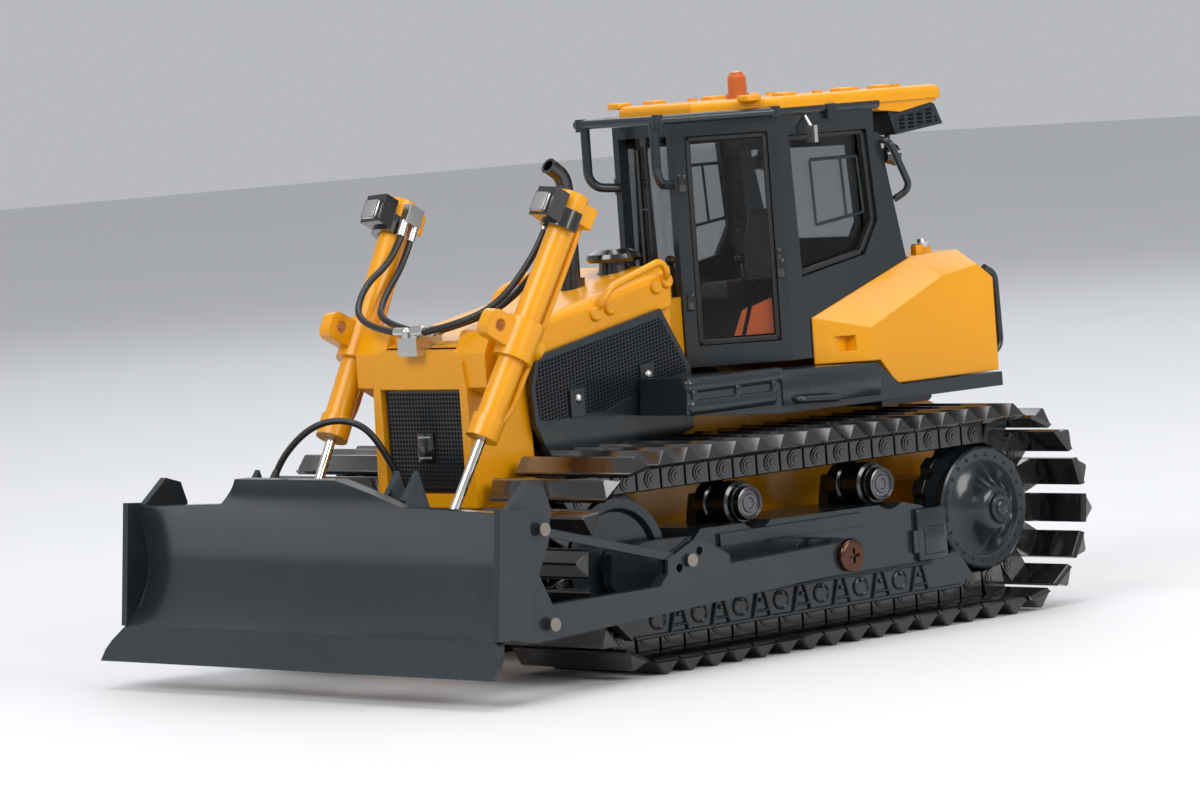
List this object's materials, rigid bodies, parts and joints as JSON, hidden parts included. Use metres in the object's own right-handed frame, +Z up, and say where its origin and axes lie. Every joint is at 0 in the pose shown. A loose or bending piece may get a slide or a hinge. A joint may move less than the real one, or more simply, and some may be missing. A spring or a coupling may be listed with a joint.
{
  "type": "toy bulldozer",
  "caption": "Scale-model crawler bulldozer with a lifting curved blade on side push arms, hydraulic lift cylinders, glazed cab and wide cleated tracks.",
  "frame": {"origin": "centre of the bounding box in plan, on the ground the track cleats stand on", "axes": "+Z up, -Y forwards towards the blade, +X to the machine's left"},
  "size_m": [0.0802, 0.1149, 0.0757],
  "materials": {
    "yellow_paint": "gloss enamel",
    "slate_paint": "gloss enamel",
    "black_plastic": "gloss",
    "silver_metal": "satin",
    "chrome_rod": "polished",
    "hose_rubber": "satin",
    "clear_glazing": "clear",
    "amber_lens": "clear tinted",
    "grey_seat": "matt"
  },
  "bodies": {
    "chassis": {"ac_unit": "slate_paint", "beacon": "amber_lens", "blade_hose": "hose_rubber", "cab_glazing": "clear_glazing", "cab_roof": "yellow_paint", "cab_shell": "slate_paint", "control_console": "black_plastic", "exhaust_stack": "black_plastic", "filler_cap": "silver_metal", "front_grille": "black_plastic", "grab_handles": "slate_paint", "hood": "yellow_paint", "hood_handrails": "yellow_paint", "hose_block": "silver_metal", "hull": "yellow_paint", "lift_hose_left_front": "hose_rubber", "lift_hose_left_rear": "hose_rubber", "lift_hose_right_front": "hose_rubber", "lift_hose_right_rear": "hose_rubber", "mirrors": "silver_metal", "nose": "yellow_paint", "platform_left": "slate_paint", "platform_right": "slate_paint", "precleaner": "black_plastic", "rear_lamps": "black_plastic", "rear_tank": "yellow_paint", "roof_rail": "slate_paint", "seat": "grey_seat", "side_panel_left": "slate_paint", "side_panel_right": "slate_paint", "track_frame_left": "slate_paint", "track_frame_right": "slate_paint", "track_left": "black_plastic", "track_right": "black_plastic", "trunnion_screws": "silver_metal", "wipers": "black_plastic"},
    "sprocket_left": {"sprocket_left": "slate_paint"},
    "idler_left": {"idler_left": "slate_paint"},
    "carrier_front_left": {"carrier_roller_front_left": "black_plastic"},
    "carrier_rear_left": {"carrier_roller_rear_left": "black_plastic"},
    "barrel_left": {"lift_barrel_left": "yellow_paint", "work_lamp_left": "black_plastic", "port_block_left": "silver_metal"},
    "rod_left": {"lift_rod_left": "chrome_rod"},
    "sprocket_right": {"sprocket_right": "slate_paint"},
    "idler_right": {"idler_right": "slate_paint"},
    "carrier_front_right": {"carrier_roller_front_right": "black_plastic"},
    "carrier_rear_right": {"carrier_roller_rear_right": "black_plastic"},
    "barrel_right": {"lift_barrel_right": "yellow_paint", "work_lamp_right": "black_plastic", "port_block_right": "silver_metal"},
    "rod_right": {"lift_rod_right": "chrome_rod"},
    "blade_frame": {"blade": "slate_paint", "cutting_edge": "slate_paint", "blade_pins": "silver_metal", "push_arm_left": "slate_paint", "push_arm_right": "slate_paint", "brace_left": "slate_paint", "brace_right": "slate_paint"}
  },
  "joints": [
    {"name": "blade_lift", "type": "hinge", "parent": "chassis", "child": "blade_frame", "pos_m": [0, 0.008, 0.0118], "axis": [-1, 0, 0], "range_deg": [-3.2, 14], "deforming": ["blade_hose"]},
    {"name": "sprocket_spin_left", "type": "hinge", "parent": "chassis", "child": "sprocket_left", "pos_m": [0.02255, 0.0433, 0.0142], "axis": [1, 0, 0], "continuous": true},
    {"name": "idler_spin_left", "type": "hinge", "parent": "chassis", "child": "idler_left", "pos_m": [0.02255, -0.02267, 0.0142], "axis": [1, 0, 0], "continuous": true},
    {"name": "carrier_front_spin_left", "type": "hinge", "parent": "chassis", "child": "carrier_front_left", "pos_m": [0.02255, -0.0007, 0.0195], "axis": [1, 0, 0], "continuous": true},
    {"name": "carrier_rear_spin_left", "type": "hinge", "parent": "chassis", "child": "carrier_rear_left", "pos_m": [0.02255, 0.0236, 0.0195], "axis": [1, 0, 0], "continuous": true},
    {"name": "barrel_swing_left", "type": "hinge", "parent": "chassis", "child": "barrel_left", "pos_m": [0.0161, -0.0287, 0.0432], "axis": [-1, 0, 0], "range_deg": [-2.7, 11.5], "deforming": ["lift_hose_left_front", "lift_hose_left_rear"]},
    {"name": "rod_slide_left", "type": "slide", "parent": "barrel_left", "child": "rod_left", "axis": [0.0628, 0.4899, 0.8695], "range_m": [-0.0028, 0.0119]},
    {"name": "sprocket_spin_right", "type": "hinge", "parent": "chassis", "child": "sprocket_right", "pos_m": [-0.02255, 0.0433, 0.0142], "axis": [1, 0, 0], "continuous": true},
    {"name": "idler_spin_right", "type": "hinge", "parent": "chassis", "child": "idler_right", "pos_m": [-0.02255, -0.02267, 0.0142], "axis": [1, 0, 0], "continuous": true},
    {"name": "carrier_front_spin_right", "type": "hinge", "parent": "chassis", "child": "carrier_front_right", "pos_m": [-0.02255, -0.0007, 0.0195], "axis": [1, 0, 0], "continuous": true},
    {"name": "carrier_rear_spin_right", "type": "hinge", "parent": "chassis", "child": "carrier_rear_right", "pos_m": [-0.02255, 0.0236, 0.0195], "axis": [1, 0, 0], "continuous": true},
    {"name": "barrel_swing_right", "type": "hinge", "parent": "chassis", "child": "barrel_right", "pos_m": [-0.0161, -0.0287, 0.0432], "axis": [-1, 0, 0], "range_deg": [-2.7, 11.5], "deforming": ["lift_hose_right_front", "lift_hose_right_rear"]},
    {"name": "rod_slide_right", "type": "slide", "parent": "barrel_right", "child": "rod_right", "axis": [-0.0628, 0.4899, 0.8695], "range_m": [-0.0028, 0.0119]}
  ],
  "couplings": [
    {"joint": "idler_spin_left", "follows": "sprocket_spin_left", "ratio": 1},
    {"joint": "carrier_front_spin_left", "follows": "sprocket_spin_left", "ratio": 3.4441},
    {"joint": "carrier_rear_spin_left", "follows": "sprocket_spin_left", "ratio": 3.4441},
    {"joint": "barrel_swing_left", "follows": "blade_lift", "ratio": 0.8074},
    {"joint": "rod_slide_left", "follows": "blade_lift", "m_per_rad": 0.04798},
    {"joint": "idler_spin_right", "follows": "sprocket_spin_right", "ratio": 1},
    {"joint": "carrier_front_spin_right", "follows": "sprocket_spin_right", "ratio": 3.4441},
    {"joint": "carrier_rear_spin_right", "follows": "sprocket_spin_right", "ratio": 3.4441},
    {"joint": "barrel_swing_right", "follows": "blade_lift", "ratio": 0.8074},
    {"joint": "rod_slide_right", "follows": "blade_lift", "m_per_rad": 0.04798}
  ]
}
